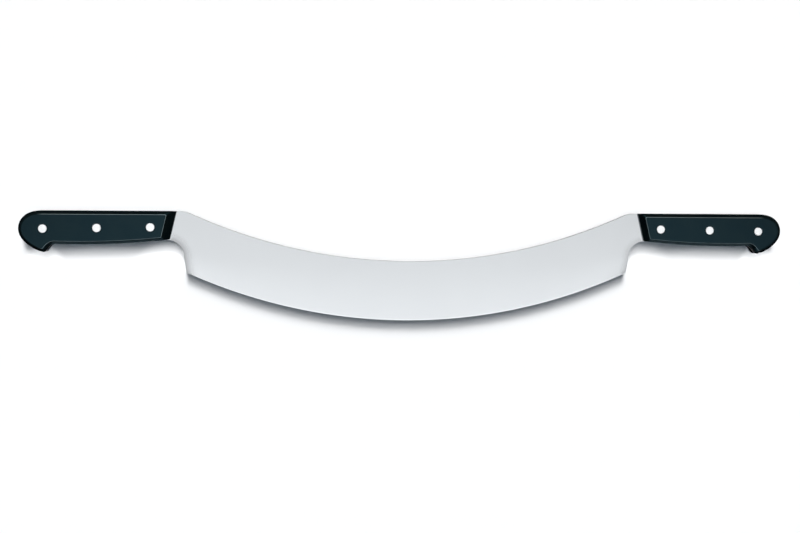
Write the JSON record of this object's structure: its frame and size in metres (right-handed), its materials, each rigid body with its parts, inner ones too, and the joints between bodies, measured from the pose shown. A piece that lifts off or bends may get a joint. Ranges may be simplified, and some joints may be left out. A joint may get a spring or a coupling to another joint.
{
  "type": "double-handled cheese knife",
  "caption": "Long two-handed cheese knife: a curved steel blade between two black riveted handles in line with its spine.",
  "frame": {"origin": "middle of the knife's length and height, on the surface that its back scales lie on", "axes": "+X along the knife, +Y from the cutting edge to the spine, +Z out of the blade's front face"},
  "size_m": [0.6568, 0.094, 0.015],
  "materials": {
    "blade_steel": "satin, ground across the blade",
    "scale_plastic": "satin-gloss black with a blue-green cast",
    "rivet_metal": "ground flush with the scales"
  },
  "bodies": {
    "root": {"blade": "blade_steel", "left_front_scale": "scale_plastic", "left_back_scale": "scale_plastic", "right_front_scale": "scale_plastic", "right_back_scale": "scale_plastic", "left_inner_rivet_sleeve": "rivet_metal", "left_inner_rivet_pin": "rivet_metal", "left_middle_rivet_sleeve": "rivet_metal", "left_middle_rivet_pin": "rivet_metal", "left_outer_rivet_sleeve": "rivet_metal", "left_outer_rivet_pin": "rivet_metal", "right_inner_rivet_sleeve": "rivet_metal", "right_inner_rivet_pin": "rivet_metal", "right_middle_rivet_sleeve": "rivet_metal", "right_middle_rivet_pin": "rivet_metal", "right_outer_rivet_sleeve": "rivet_metal", "right_outer_rivet_pin": "rivet_metal"}
  },
  "joints": []
}
